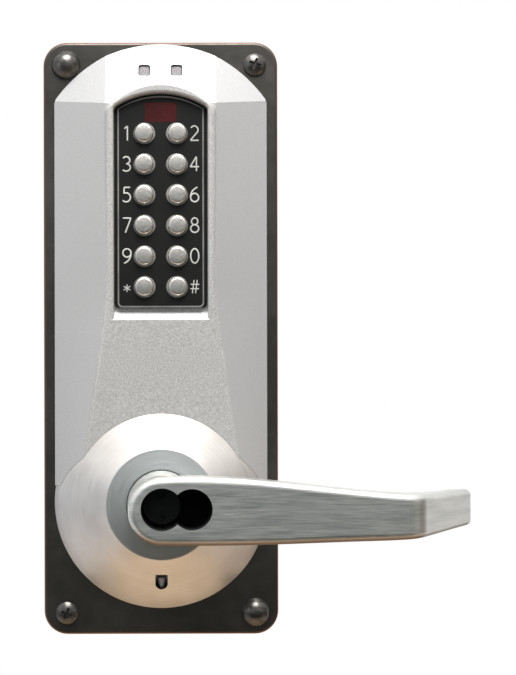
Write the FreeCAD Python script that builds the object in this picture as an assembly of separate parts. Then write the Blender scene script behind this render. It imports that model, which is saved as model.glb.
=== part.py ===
import FreeCAD, Part
import math
import os

from FreeCAD import Vector

# Keypad smart lock, the outside trim of a door: millimetres, +Z up.
# The origin is on the lever's axis, in the plane of the door's face.
# The door is on the +Y side, the user stands on the -Y side, the lever points to +X.
# Heights named *_H are measured from the back plate's front face towards the user.

# Back plate, gasket and corner fasteners
PLATE_HALF_WIDTH = 50.0
PLATE_BOTTOM = -56.7
PLATE_TOP = 196.1
PLATE_CORNER = 10.0
PLATE_THICK = 3.5
PLATE_EDGE = 1.4
GASKET_THICK = 1.0
GASKET_INSET = 0.8
BOLT_X = 40.3
BOLT_LOW = -47.5
BOLT_HIGH = 186.3
BOLT_RADIUS = 2.5
BOLT_HOLE = 2.7
BOLT_END = 40.0
BOLT_NECK = 2.3
BOLT_NECK_END = 0.5
DOME_RADIUS = 6.2
DOME_RISE = 4.4
PAN_RADIUS = 4.7
PAN_RISE = 2.7
PAN_FLAT = 0.9
CROSS_LENGTH = 5.0
CROSS_WIDTH = 1.1
CROSS_DEPTH = 1.5
CROSS_TURN = 20.0
TINY = 0.01
OVER = 1.0  # how far a cutting shape stands past the surface it cuts

# Housing: a cast cover with sloping flanks and an arched top
HOUSING_HALF = 45.2
HOUSING_BOTTOM = 7.0
HOUSING_SHOULDER = 170.6
HOUSING_CROWN = 194.7
HOUSING_SHOULDER_ROUND = 5.0
FLANK_EDGE_H = 1.2
CREST_H = 8.7
CREST_LOW_H = 7.9
TOP_SLOPE = 0.284
CREASE_DROP = 0.307
WALL = 1.9
HOLLOW_HALF = 41.0
HOLLOW_H = 4.6
BAY_H = 6.3
BAY = (-20.0, 20.0, 49.0, 73.5)
BOARD_BOSS = 2.0
HOUSING_BOSS = 3.4

# Tongue: the raised panel that runs from the rose up round the keypad
TONGUE_HALF = 23.3
TONGUE_SHOULDER = 166.4
TONGUE_CROWN = 177.2
TONGUE_CORNER = 6.0
TONGUE_LOW_Z = 37.0
TONGUE_LOW_H = 8.45
TONGUE_TILT = 0.018
TONGUE_EDGE = 2.0
FLARE_TOP = 94.2
FLARE_RADIUS = 120.0
FLARE_ANGLE = math.radians(8.13)
FLANK_STATIONS = (7.0, 77.2, 81.4, 85.7, 89.9, FLARE_TOP, HOUSING_SHOULDER)

# Keypad pocket and faceplate
POCKET_HALF = 19.8
POCKET_SHOULDER = 166.3
POCKET_CROWN = 172.4
POCKET_FLOOR_Z = 80.6
POCKET_RAMP_Z = 76.9
POCKET_FLOOR_H = 5.9
POCKET_CORNER = 3.0
POCKET_EDGE = 1.0
WINDOW_HALF = 15.9
WINDOW_LOW = 84.0
WINDOW_HIGH = 166.5
WINDOW_MARGIN = 0.3
SEAL_THICK = 0.3
SEAL_INSET = 0.8
FACE_BOTTOM = 82.3
FACE_GAP = 0.2
FACE_STEP_H = 6.9
FACE_H = 7.5
TRIM_HALF = 18.2
TRIM_WIDTH = 0.6
TRIM_H = 7.7
TRIM_SHOULDER = 165.9
TRIM_CROWN = 171.4
TRIM_CORNER = 1.8
SIGNAL_HALF = 6.65
SIGNAL_LOW = 160.5
SIGNAL_HIGH = 168.6
SIGNAL_GAP = 0.05

# Keys: two columns of six
KEY_X = 6.85
KEY_TOP_Z = 155.7
KEY_PITCH = 12.94
KEY_NAMES = (("1", "2"), ("3", "4"), ("5", "6"), ("7", "8"), ("9", "0"), ("star", "hash"))
KEY_CAP = 4.1
KEY_COLLAR = 4.4
KEY_HOLE = 4.7
KEY_FLANGE = 5.0
KEY_FOOT_H = 5.4
KEY_FLANGE_H = 6.1
KEY_COLLAR_H = 8.0
KEY_CAP_H = 9.7
KEY_DOME = 0.3
KEY_EDGE = 1.3
KEY_LEAN = 0.2

# Circuit board and what stands on it
BOARD = (-20.5, 20.5, 64.0, 174.0)
BOARD_TAB = (-11.0, 11.0, 174.0, 183.4)
BOARD_BACK_H = 1.0
BOARD_H = 2.6
BOARD_SCREWS = ((-18.2, 95.0), (18.2, 95.0), (-18.2, 155.0), (18.2, 155.0))
BOARD_SCREW = 0.75
BOARD_PILOT = 0.8
BOARD_HOLE = 1.0
SMALL_HEAD = 1.8
SMALL_HEAD_THICK = 0.8
SWITCH_HALF = 3.0
SWITCH_H = 3.6
PLUNGER_H = 4.1
PLUNGER_RADIUS = 1.2
MAT = (-14.6, 14.6, 85.0, 161.5)
MAT_LOW_H = 3.65
MAT_H = 4.05
MAT_DOME = (3.4, 2.2)
MAT_HOLLOW = (3.1, 1.8)
MAT_ROOF = 0.4
LENS_Z = 183.0
LENS_SIZE = 5.0
LENS_RECESS = 0.7
LENS_BACK_H = 3.25
LENS_ROUND = 0.22
LENS_GAP = 0.1
EMITTER_Z = 182.4
EMITTER_HALF = 0.9
EMITTER_THICK = 0.4
INFRARED_HALF = 5.0
INFRARED_DEEP = 2.0
INFRARED_THICK = 1.0
INFRARED_DOME = (1.5, 1.2)
INFRARED_DOME_X = 2.5
CHIPS = ((6.0, 14.0, 68.0, 76.0), (-18.0, -13.0, 76.5, 80.0))
CHIP_THICK = 1.2
BEEPER = (-9.0, 68.7)
BEEPER_RADIUS = 4.5
BEEPER_H = 5.9
SOCKET_HALF = 3.6
SOCKET_Z = (64.5, 70.5)
SOCKET_H = 6.0
SOCKET_WALL = 0.7
SOCKET_FLOOR = 0.8
PIN_RADIUS = 0.3
PIN_Z = (66.0, 70.0)
PIN_XS = (-1.8, -0.6, 0.6, 1.8)

# Rose: a hollow cone with a flat nose
ROSE_RADIUS = 45.4
ROSE_EDGE_H = 0.6
ROSE_NOSE = 23.0
ROSE_H = 22.4
ROSE_BORE = 14.5
ROSE_NOSE_BACK_H = 20.2
ROSE_INNER_BASE = 42.6
ROSE_INNER_NOSE = 21.6
ROSE_GAP = 0.12
LIP_RADIUS = 15.2
LIP_H = 23.9
NOSE_TOP_H = 23.4
SLOT_Z = -33.0
SLOT_WIDTH = 5.2
SLOT_HEIGHT = 6.8
NOSE_EDGE = 0.8
BUSHING_WALL = 0.9
CATCH_TAB = (-3.4, 3.6)
CATCH_NUB = (-1.6, 2.9)
CATCH_NUB_RADIUS = 2.0
CATCH_HALF = 2.5
CATCH_GAP = 0.6
CATCH_THICK = 1.1
CATCH_MARGIN = 3.0
BRACKET = (-4.0, 4.5)
BRACKET_HALF = 3.8
BRACKET_SIDE = 0.9
BRACKET_BASE = 0.8
LEAF = (-1.5, 2.5)
LEAF_HALF = 1.5
LEAF_THICK = 0.5
LEAF_LIFT = 1.2

# Lever: hub, arm with a return towards the door, pocket for a key core
LEVER_H = 54.6
LEVER_THICK = 12.0
LEVER_EDGE = 2.7
NECK_RADIUS = 14.1
NECK_LOW_H = 16.0
NECK_HIGH_H = 34.0
HUB_RADIUS = 13.35
HUB_DROP = -0.8
ARM_TOP = ((0.0, 12.55), (46.0, 10.8), (97.5, 5.8), (128.6, 6.5))
ARM_LOW = (
    (0.0, -14.15), (46.0, -13.75), (80.0, -12.6), (97.0, -11.9), (112.0, -10.3), (128.6, -8.5))
BEND_X = 100.8
TIP_X = 128.6
TIP_H = 20.5
TIP_THICK = 9.0
CORE_RADIUS = 8.33
CORE_LOBE_X = 11.69
CORE_LOBE_RADIUS = 8.06
CORE_FLOOR_H = 27.0
CORE_BLOCK_H = 24.0
CORE_BLOCK_X = 23.5
CORE_BLOCK_HALF = 11.0
CORE_BLOCK_GAP = 4.0
CORE_BLOCK_CORNER = 3.0
HUB_SHRINK = 0.4
HUB_TOP_GAP = 6.0
ARM_REACH = 30.0
PLAN_ROUNDS = ((1, 10.0), (2, 3.0), (4, 8.0))
BEND_SHARE = 0.9

# Core driver: disc, shaft, snap ring and blade
DRIVER_SHAFT = 3.0
DRIVER_GAP = 0.8
DISC_H = (27.2, 30.0)
DRIVER_SHAFT_H = 18.9
BLADE_H = 15.0
BLADE_HALF = 0.9
DRIVER_PIN_Z = 4.2
DRIVER_PIN_HOLE = 1.3
DRIVER_PIN_H = 28.0
DRIVER_GROOVE_H = (21.4, 22.4)
DRIVER_CLIP_H = (21.5, 22.3)
DRIVER_GROOVE_DEPTH = 0.6
DRIVER_CLIP_WALL = 1.6
DRIVER_CLIP_GAP_HALF = 1.2

# Drive train on the lever's axis
TUBE_RADIUS = 11.0
TUBE_BORE = 8.0
TUBE_LOW_H = 4.4
TUBE_HIGH_H = 22.9
DOG_COUNT = 3
DOG_SLOT = 5.0
DOG_WIDTH = 4.6
DOG_SLOT_H = 7.4
DOG_H = 6.8
DOG_MARGIN = 0.3
RUNNING = 0.1
SLEEVE_RADIUS = 10.6
SLEEVE_LOW_H = -2.2
SLEEVE_H = 4.2
GROOVE_RADIUS = 9.2
GROOVE_H = (0.45, 2.05)
SQUARE = 9.0
SPINDLE_NOSE = 7.9
SPINDLE_NOSE_H = (9.0, 14.0)
SQUARE_END = 7.2
JOURNAL = 6.0
JOURNAL_END = 15.0
TAIL_RADIUS = 4.0
TAIL_FLAT = 3.4
TAIL_END = 46.0
CLIP_DEPTH = 1.0
CLIP_GROOVE_Y = (12.2, 13.2)
CLIP_Y = (12.3, 13.1)
CLIP_WALL = 1.8
CLIP_GAP_HALF = 2.0
BUSHING_FLANGE = 4.5
BUSHING_SLEEVE = 3.0
BUSHING_THICK = 1.0
FORK_H = (0.6, 1.9)
FORK_HALF = 5.0
FORK_JAW = 12.6
FORK_JAW_LOW = -3.0
FORK_CLEAR = 0.3
NUT_H = (0.2, 2.4)
SCREW_Z = 29.0
SCREW_RADIUS = 1.2
NUT_RADIUS = 2.8
MOTOR_RADIUS = 3.4
MOTOR_H = (3.4, 9.0)
MOTOR_FLAT = 2.8
SCREW_H = (-2.9, 3.35)
BRIDGE_HALF = 8.0
BRIDGE_WALL = 1.2
BRIDGE_UNDER_H = 2.6

# Spring cage behind the rose
CAGE_RADIUS = 25.0
CAGE_INNER = 23.2
CAGE_LOW_H = 2.4
CAGE_FLOOR_H = 4.0
CAGE_H = 14.0
COVER_H = 15.4
EAR_CIRCLE = 27.5
EAR_RADIUS = 3.3
EAR_ANGLES = (45, 135, 225, 315)
CAM_H = (9.0, 13.0)
CAM_RING = 14.5
CAM_ARM = 21.5
CAM_HALF_ANGLE = 9.0
TURN_LIMIT = 50.0
STOP_SLACK = 0.8
STOP_WIDTH = 15.0
STOP_INNER = 17.0
SPRING_H = (4.6, 8.4)
SPRING_WIRE = 0.7
SPRING_INNER = 11.35
SPRING_PITCH = 2.4
SPRING_HALF_TURNS = 9
STOP_CLEAR = 0.3
COVER_SCREW = 0.9
COVER_PILOT = 0.95
COVER_SCREW_DEPTH = 3.5
COVER_HEAD_THICK = 1.0
CAGE_HEAD = 2.4
CAGE_HEAD_THICK = 1.6

# Chassis hub in the door's cross bore
HUB_BORE_FIT = 26.6
HUB_CAVITY = 21.0
HUB_WALL_Y = 8.5
HUB_END = 12.0
HUB_RIM_STEP = 0.6
POST_X = 20.0
POST_RADIUS = 4.0
POST_END = 30.0
POST_HOLE = 2.1
POST_DEPTH = 14.0
HUB_SCREW_CIRCLE = 23.8
HUB_SCREW_ANGLES = (20, 160, 200, 340)
PLATE_OPENING = 17.0
PLATE_SLOT_HALF = 6.0
PLATE_SLOT_TOP = 33.0
HARNESS_Z = 57.0
HARNESS_RADIUS = 7.0
HOUSING_SCREWS = ((-32.0, 62.0), (32.0, 62.0), (-32.0, 150.0), (32.0, 150.0))
SCREW_SHANK = 1.25
SCREW_PILOT = 1.3
SCREW_HEAD = 2.6
SCREW_SEAT = 0.1
PILOT_SPARE = 0.5


# Basic shapes


def front(height):
    """The y of a height above the back plate's front face."""
    return -(GASKET_THICK + PLATE_THICK) - height


def rod(radius, start, end, x=0.0, z=0.0):
    low, high = sorted((start, end))
    return Part.makeCylinder(radius, high - low, Vector(x, low, z), Vector(0, 1, 0))


def tube(outer, inner, start, end, x=0.0, z=0.0):
    return rod(outer, start, end, x, z).cut(rod(inner, start, end, x, z))


def taper(radius_start, start, radius_end, end, x=0.0, z=0.0):
    direction = Vector(0, math.copysign(1, end - start), 0)
    return Part.makeCone(radius_start, radius_end, abs(end - start), Vector(x, start, z), direction)


def block(xs, ys, zs):
    x, y, z = sorted(xs), sorted(ys), sorted(zs)
    return Part.makeBox(x[1] - x[0], y[1] - y[0], z[1] - z[0], Vector(x[0], y[0], z[0]))


def slab(outline, start, end):
    """A closed outline in the XZ plane, filled and given thickness along Y."""
    face = Part.Face(outline)
    face.translate(Vector(0, start, 0))
    return face.extrude(Vector(0, end - start, 0))


def side_slab(points, x_start, x_end):
    """A polygon of (height, z) points, given thickness along X."""
    corners = [Vector(x_start, front(h), z) for h, z in points]
    face = Part.Face(Part.makePolygon(corners + corners[:1]))
    return face.extrude(Vector(x_end - x_start, 0, 0))


def revolved(points):
    """A polygon of (radius, height) points, turned about the lever's axis."""
    corners = [Vector(r, front(h), 0) for r, h in points]
    face = Part.Face(Part.makePolygon(corners + corners[:1]))
    return face.revolve(Vector(0, 0, 0), Vector(0, 1, 0), 360)


def line(a, b):
    return Part.LineSegment(a, b).toShape()


def arc(a, middle, b):
    return Part.Arc(a, middle, b).toShape()


def rounded_rectangle(x0, x1, z0, z1, radius):
    """Outline with four round corners, in the XZ plane."""
    edges = []
    corners = ((x1, z0, -90), (x1, z1, 0), (x0, z1, 90), (x0, z0, 180))
    ends = []
    for x, z, start in corners:
        cx = x - math.copysign(radius, x - (x0 + x1) / 2)
        cz = z - math.copysign(radius, z - (z0 + z1) / 2)
        angles = [math.radians(start + step) for step in (0, 45, 90)]
        a, m, b = (Vector(cx + radius * math.cos(t), 0, cz + radius * math.sin(t)) for t in angles)
        edges.append(arc(a, m, b))
        ends.append((a, b))
    for k in range(4):
        edges.append(line(ends[k][1], ends[(k + 1) % 4][0]))
    return Part.Wire(Part.__sortEdges__(edges))


def arched(half, bottom, shoulder, crown, corner=0.0):
    """Outline with straight sides, an arched top and optional round lower corners."""
    left, right = Vector(-half, 0, shoulder), Vector(half, 0, shoulder)
    edges = [arc(left, Vector(0, 0, crown), right)]
    low_left, low_right = Vector(-half, 0, bottom), Vector(half, 0, bottom)
    if corner:
        inset = corner * (1 - math.sqrt(0.5))
        for side in (-1, 1):
            a = Vector(side * half, 0, bottom + corner)
            m = Vector(side * (half - inset), 0, bottom + inset)
            b = Vector(side * (half - corner), 0, bottom)
            edges += [arc(a, m, b), line(Vector(side * half, 0, shoulder), a)]
        edges.append(line(Vector(corner - half, 0, bottom), Vector(half - corner, 0, bottom)))
    else:
        edges += [line(left, low_left), line(low_left, low_right), line(low_right, right)]
    return Part.Wire(Part.__sortEdges__(edges))


def arched_slab(half, bottom, shoulder, crown, rounding, start, end, corner=0.0):
    """An arched outline given thickness, with its two shoulders rounded."""
    body = slab(arched(half, bottom, shoulder, crown, corner), start, end)
    return round_edges(
        body, rounding,
        lambda b: b.YLength > TINY and b.ZLength < TINY and abs(b.ZMin - shoulder) < TINY)


def sector(inner, outer, start_angle, end_angle, start, end):
    """Part of a ring about the lever's axis, between two angles in degrees from +X."""
    def spot(radius, degrees):
        t = math.radians(degrees)
        return Vector(radius * math.cos(t), 0, radius * math.sin(t))

    middle = (start_angle + end_angle) / 2
    edges = [
        arc(spot(outer, start_angle), spot(outer, middle), spot(outer, end_angle)),
        line(spot(outer, end_angle), spot(inner, end_angle)),
        arc(spot(inner, end_angle), spot(inner, middle), spot(inner, start_angle)),
        line(spot(inner, start_angle), spot(outer, start_angle)),
    ]
    return slab(Part.Wire(edges), start, end)


def round_edges(shape, radius, wanted):
    """Fillet the edges whose bounding box passes the test."""
    return shape.makeFillet(radius, [e for e in shape.Edges if wanted(e.BoundBox)])


def on_circle(radius, degrees):
    t = math.radians(degrees)
    return radius * math.cos(t), radius * math.sin(t)


def join(shapes):
    """Fuse shapes that touch or overlap into one solid."""
    return shapes[0].multiFuse(shapes[1:]).removeSplitter()


# Gasket, back plate and corner fasteners


def bolt_spots():
    return [(x, z) for x in (-BOLT_X, BOLT_X) for z in (BOLT_LOW, BOLT_HIGH)]


def hub_screw_spots():
    return [on_circle(HUB_SCREW_CIRCLE, a) for a in HUB_SCREW_ANGLES]


def make_gasket():
    outline = rounded_rectangle(
        GASKET_INSET - PLATE_HALF_WIDTH, PLATE_HALF_WIDTH - GASKET_INSET,
        PLATE_BOTTOM + GASKET_INSET, PLATE_TOP - GASKET_INSET, PLATE_CORNER - GASKET_INSET)
    sheet = slab(outline, -GASKET_THICK, 0)
    holes = [rod(BOLT_HOLE, -GASKET_THICK, 0, x, z) for x, z in bolt_spots()]
    holes.append(rod(HUB_BORE_FIT + OVER, -GASKET_THICK, 0))
    holes.append(rod(HARNESS_RADIUS, -GASKET_THICK, 0, 0, HARNESS_Z))
    return sheet.cut(Part.makeCompound(holes))


def make_back_plate():
    back, face = -GASKET_THICK, front(0)
    outline = rounded_rectangle(
        -PLATE_HALF_WIDTH, PLATE_HALF_WIDTH, PLATE_BOTTOM, PLATE_TOP, PLATE_CORNER)
    plate = slab(outline, back, face)
    plate = round_edges(plate, PLATE_EDGE, lambda b: b.YMax < face + TINY)
    holes = [rod(BOLT_HOLE, back, face, x, z) for x, z in bolt_spots()]
    holes.append(rod(PLATE_OPENING, back, face))
    holes.append(block((-PLATE_SLOT_HALF, PLATE_SLOT_HALF), (back, face), (0, PLATE_SLOT_TOP)))
    holes.append(rod(HARNESS_RADIUS, back, face, 0, HARNESS_Z))
    for x, z in HOUSING_SCREWS:
        holes.append(rod(SCREW_PILOT, back, face, x, z))
        holes.append(taper(SCREW_HEAD, back, SCREW_PILOT, back - SCREW_HEAD + SCREW_PILOT, x, z))
    for x, z in hub_screw_spots():
        holes.append(rod(SCREW_PILOT, back, face, x, z))
        holes.append(taper(SCREW_HEAD, face, SCREW_PILOT, face + SCREW_HEAD - SCREW_PILOT, x, z))
    for angle in EAR_ANGLES:
        x, z = on_circle(EAR_CIRCLE, angle)
        holes.append(rod(SCREW_PILOT, back, face, x, z))
    for hole in holes:
        plate = plate.cut(hole)
    return plate


def dome(radius, rise, base, x, z):
    """Spherical cap that stands towards the user from y = base."""
    sphere_radius = (radius ** 2 + rise ** 2) / (2 * rise)
    ball = Part.makeSphere(sphere_radius, Vector(x, base - rise + sphere_radius, z))
    return ball.common(rod(radius + OVER, base, base - rise - OVER, x, z))


def bolt_shaft(x, z):
    """Relieved neck through the plate and gasket, then the threaded length."""
    return [
        rod(BOLT_NECK, front(0), BOLT_NECK_END, x, z),
        rod(BOLT_RADIUS, BOLT_NECK_END, BOLT_END, x, z)]


def make_dome_bolts():
    """Two smooth domed bolts, at the upper left and lower right corners."""
    bolts = []
    for x, z in ((-BOLT_X, BOLT_HIGH), (BOLT_X, BOLT_LOW)):
        head = dome(DOME_RADIUS, DOME_RISE, front(0), x, z)
        bolts.append(join([head] + bolt_shaft(x, z)))
    return Part.makeCompound(bolts)


def make_trim_screws():
    """Two pan-head screws with a cross recess, at the other two corners."""
    screws = []
    for x, z in ((BOLT_X, BOLT_HIGH), (-BOLT_X, BOLT_LOW)):
        rim = rod(PAN_RADIUS, front(0), front(PAN_FLAT), x, z)
        cap = dome(PAN_RADIUS, PAN_RISE - PAN_FLAT, front(PAN_FLAT), x, z)
        screw = join([rim, cap] + bolt_shaft(x, z))
        depth = (front(PAN_RISE - CROSS_DEPTH), front(PAN_RISE + OVER))
        for length, width in ((CROSS_LENGTH, CROSS_WIDTH), (CROSS_WIDTH, CROSS_LENGTH)):
            slot = block((-length / 2, length / 2), depth, (-width / 2, width / 2))
            slot.rotate(Vector(0, 0, 0), Vector(0, 1, 0), CROSS_TURN)
            slot.translate(Vector(x, 0, z))
            screw = screw.cut(slot)
        screws.append(screw)
    return Part.makeCompound(screws)


# Housing


def crest_x(z):
    """Half width of the tongue, which the flanks' upper edges follow."""
    sweep = min(max(FLARE_TOP - z, 0.0), FLARE_RADIUS * math.sin(FLARE_ANGLE))
    swing = FLARE_RADIUS * (1 - math.cos(math.asin(sweep / FLARE_RADIUS)))
    straight = max(FLARE_TOP - z, 0.0) - sweep
    return TONGUE_HALF + swing + straight * math.tan(FLARE_ANGLE)


def crest_h(z):
    share = min(max(FLARE_TOP - z, 0.0) / FLARE_TOP, 1.0)
    return CREST_H + (CREST_LOW_H - CREST_H) * share


def flank_body(mask, half, edge, drop):
    """Flanks that rise to the tongue's edges, then lean back above a slightly tilted crease."""
    wires = []
    for z in FLANK_STATIONS:
        x, crest = crest_x(z), crest_h(z) - drop
        tilt = CREASE_DROP if z == HOUSING_SHOULDER else 0.0
        section = [(-half, 0), (-half, edge), (-x, crest), (x, crest), (half, edge), (half, 0)]
        corners = [Vector(a, front(h), z - tilt * (h - edge)) for a, h in section]
        wires.append(Part.makePolygon(corners + corners[:1]))
    lower = Part.makeLoft(wires, True, True)
    reach = HOUSING_CROWN - HOUSING_SHOULDER + CREASE_DROP * CREST_H
    upper = Part.Face(wires[-1]).extrude(Vector(0, TOP_SLOPE * reach, reach))
    return join([lower, upper]).common(mask)


def tongue_outline(inset=0.0):
    """Straight beside the keypad, then flaring towards the rose, with an arched top."""
    half = TONGUE_HALF - inset
    swing = FLARE_RADIUS * (1 - math.cos(FLARE_ANGLE))
    swing_middle = FLARE_RADIUS * (1 - math.cos(FLARE_ANGLE / 2))
    drop = FLARE_RADIUS * math.sin(FLARE_ANGLE)
    drop_middle = FLARE_RADIUS * math.sin(FLARE_ANGLE / 2)
    edges = []
    feet = []
    for side in (-1, 1):
        top = Vector(side * half, 0, TONGUE_SHOULDER)
        turn = Vector(side * half, 0, FLARE_TOP)
        middle = Vector(side * (half + swing_middle), 0, FLARE_TOP - drop_middle)
        end = Vector(side * (half + swing), 0, FLARE_TOP - drop)
        run = (end.z - HOUSING_BOTTOM) * math.tan(FLARE_ANGLE)
        foot = Vector(side * (half + swing + run), 0, HOUSING_BOTTOM)
        edges += [line(top, turn), arc(turn, middle, end), line(end, foot)]
        feet.append(foot)
    crown = Vector(0, 0, TONGUE_CROWN - inset)
    edges.append(arc(Vector(-half, 0, TONGUE_SHOULDER), crown, Vector(half, 0, TONGUE_SHOULDER)))
    edges.append(line(*feet))
    return Part.Wire(Part.__sortEdges__(edges))


def tongue_h(z):
    return TONGUE_LOW_H + TONGUE_TILT * (z - TONGUE_LOW_Z)


def make_tongue():
    below = side_slab(
        [(0, 0), (tongue_h(0), 0), (tongue_h(HOUSING_CROWN), HOUSING_CROWN), (0, HOUSING_CROWN)],
        -HOUSING_HALF, HOUSING_HALF)
    body = slab(tongue_outline(), front(0), front(CREST_H * 2)).common(below)
    body = round_edges(
        body, TONGUE_CORNER,
        lambda b: b.YLength > CREST_LOW_H and b.ZLength < TINY and abs(b.ZMin - TONGUE_SHOULDER) < TINY)
    near_face, mouth = front(TONGUE_LOW_H - OVER), POCKET_HALF + TINY
    body = round_edges(
        body, TONGUE_EDGE, lambda b: b.YMax < near_face and b.ZMax > HOUSING_BOTTOM + OVER)
    return round_edges(
        body.cut(make_pocket()), POCKET_EDGE,
        lambda b: b.YMax < near_face and b.ZMax > POCKET_FLOOR_Z and -mouth < b.XMin and b.XMax < mouth)


def make_pocket():
    """The recess for the keypad, with a sloping lower end."""
    floor, above = POCKET_FLOOR_H, CREST_H * 2
    well = arched_slab(
        POCKET_HALF, POCKET_FLOOR_Z, POCKET_SHOULDER, POCKET_CROWN, POCKET_CORNER, front(floor),
        front(above))
    ramp = side_slab(
        [(floor, POCKET_FLOOR_Z), (tongue_h(POCKET_RAMP_Z), POCKET_RAMP_Z),
         (above, POCKET_RAMP_Z), (above, POCKET_FLOOR_Z)], -POCKET_HALF, POCKET_HALF)
    return join([well, ramp])


def rose_cone(extra, height):
    """The rose's conical space, wider by a margin, up to a height above the plate."""
    lean = (ROSE_RADIUS - ROSE_NOSE) / (ROSE_H - ROSE_EDGE_H)
    wide = ROSE_RADIUS + extra + ROSE_EDGE_H * lean
    return taper(wide, front(0), wide - height * lean, front(height))


def make_hollow():
    """The housing's inside, with the screw bosses left standing."""
    slope = (CREST_H - FLANK_EDGE_H) / (HOUSING_HALF - TONGUE_HALF)
    edge = FLANK_EDGE_H + slope * (HOUSING_HALF - HOLLOW_HALF) - WALL
    outline = arched(
        HOLLOW_HALF, HOUSING_BOTTOM + WALL, HOUSING_SHOULDER - WALL, HOUSING_CROWN - 2 * WALL)
    hollow = flank_body(slab(outline, front(0), front(HOLLOW_H)), HOLLOW_HALF, edge, WALL)
    hollow = hollow.fuse(block(BAY[:2], (front(HOLLOW_H - OVER), front(BAY_H)), BAY[2:]))
    hollow = hollow.cut(rose_cone(ROSE_GAP + 2 * WALL, CREST_H))
    bosses = [rod(BOARD_BOSS, front(BOARD_H), front(CREST_H), x, z) for x, z in BOARD_SCREWS]
    bosses += [rod(HOUSING_BOSS, front(0), front(CREST_H), x, z) for x, z in HOUSING_SCREWS]
    return hollow.cut(Part.makeCompound(bosses))


def lens_outline(x, size):
    low, high = LENS_Z - size / 2, LENS_Z + size / 2
    return rounded_rectangle(x - size / 2, x + size / 2, low, high, size * LENS_ROUND)


def make_housing():
    mask = arched_slab(
        HOUSING_HALF, HOUSING_BOTTOM, HOUSING_SHOULDER, HOUSING_CROWN, HOUSING_SHOULDER_ROUND,
        front(0), front(CREST_H + OVER))
    flanks = flank_body(mask, HOUSING_HALF, FLANK_EDGE_H, 0)
    flanks = flanks.cut(slab(tongue_outline(TONGUE_EDGE), front(0), front(CREST_H + OVER)))
    shell = join([flanks.cut(make_pocket()), make_tongue()])
    shell = shell.cut(make_hollow())
    shell = shell.cut(rose_cone(ROSE_GAP, 2 * CREST_H))
    openings = [block(
        (-WINDOW_HALF, WINDOW_HALF), (front(0), front(CREST_H)), (WINDOW_LOW, WINDOW_HIGH))]
    for x in (-KEY_X, KEY_X):
        openings.append(slab(lens_outline(x, LENS_SIZE), front(0), front(CREST_H)))
    for x, z in BOARD_SCREWS:
        openings.append(rod(BOARD_PILOT, front(BOARD_H), front(HOLLOW_H + PILOT_SPARE), x, z))
    for x, z in HOUSING_SCREWS:
        openings.append(rod(SCREW_PILOT, front(0), front(HOLLOW_H - PILOT_SPARE), x, z))
    for opening in openings:
        shell = shell.cut(opening)
    return shell


def make_housing_screws():
    screws = []
    for x, z in HOUSING_SCREWS:
        head_end = -GASKET_THICK - SCREW_HEAD + SCREW_SHANK
        head = taper(SCREW_HEAD - RUNNING, -GASKET_THICK, SCREW_SHANK - RUNNING, head_end, x, z)
        screws.append(join([head, rod(SCREW_SHANK, head_end + SCREW_SEAT, front(HOLLOW_H - OVER), x, z)]))
    return Part.makeCompound(screws)


# Keypad


def make_seal():
    start, end = front(POCKET_FLOOR_H), front(POCKET_FLOOR_H + SEAL_THICK)
    outer = arched_slab(
        POCKET_HALF - SEAL_INSET, FACE_BOTTOM + SEAL_INSET, POCKET_SHOULDER, POCKET_CROWN - SEAL_INSET,
        POCKET_CORNER, start, end)
    half = WINDOW_HALF + WINDOW_MARGIN
    return outer.cut(block((-half, half), (start, end), (WINDOW_LOW, WINDOW_HIGH)))


def signal_block(margin, low, high):
    return block(
        (-SIGNAL_HALF - margin, SIGNAL_HALF + margin), (front(low), front(high)),
        (SIGNAL_LOW - margin, SIGNAL_HIGH + margin))


def make_faceplate():
    back = POCKET_FLOOR_H + SEAL_THICK
    step = arched_slab(
        POCKET_HALF - FACE_GAP, FACE_BOTTOM, POCKET_SHOULDER, POCKET_CROWN - FACE_GAP, POCKET_CORNER,
        front(back), front(FACE_STEP_H), TRIM_CORNER)
    panel = slab(trim_outline(TRIM_WIDTH), front(FACE_STEP_H), front(FACE_H))
    plate = join([step, panel])
    for x, z, _, _ in keys():
        plate = plate.cut(rod(KEY_HOLE, front(back), front(FACE_H), x, z))
    return plate.cut(signal_block(SIGNAL_GAP, back, FACE_H))


def trim_outline(inset):
    return arched(
        TRIM_HALF - inset, FACE_BOTTOM + inset, TRIM_SHOULDER, TRIM_CROWN - inset,
        TRIM_CORNER - inset / 2)


def make_faceplate_trim():
    """Thin bright line round the raised panel."""
    ring = slab(trim_outline(0.0), front(FACE_STEP_H), front(TRIM_H))
    return ring.cut(slab(trim_outline(TRIM_WIDTH), front(FACE_STEP_H), front(TRIM_H)))


def keys():
    """(x, z, label, side) of each key, row by row from the top."""
    spots = []
    for row, labels in enumerate(KEY_NAMES):
        for side, label in zip((-1, 1), labels):
            spots.append((side * KEY_X, KEY_TOP_Z - row * KEY_PITCH, label, side))
    return spots


def make_key(x, z, side):
    """Flange behind the faceplate, collar in its hole and a domed cap."""
    flange = rod(KEY_FLANGE, front(KEY_FOOT_H), front(KEY_FLANGE_H), x, z)
    collar = rod(KEY_COLLAR, front(KEY_FLANGE_H), front(KEY_COLLAR_H), x, z)
    cap_x = x + side * KEY_LEAN
    cap = join([
        rod(KEY_CAP, front(KEY_COLLAR_H), front(KEY_CAP_H), cap_x, z),
        dome(KEY_CAP, KEY_DOME, front(KEY_CAP_H), cap_x, z)])
    rim = front(KEY_CAP_H)
    cap = round_edges(cap, KEY_EDGE, lambda b: b.YLength < TINY and abs(b.YMin - rim) < TINY)
    return join([flange, collar, cap])


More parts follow.
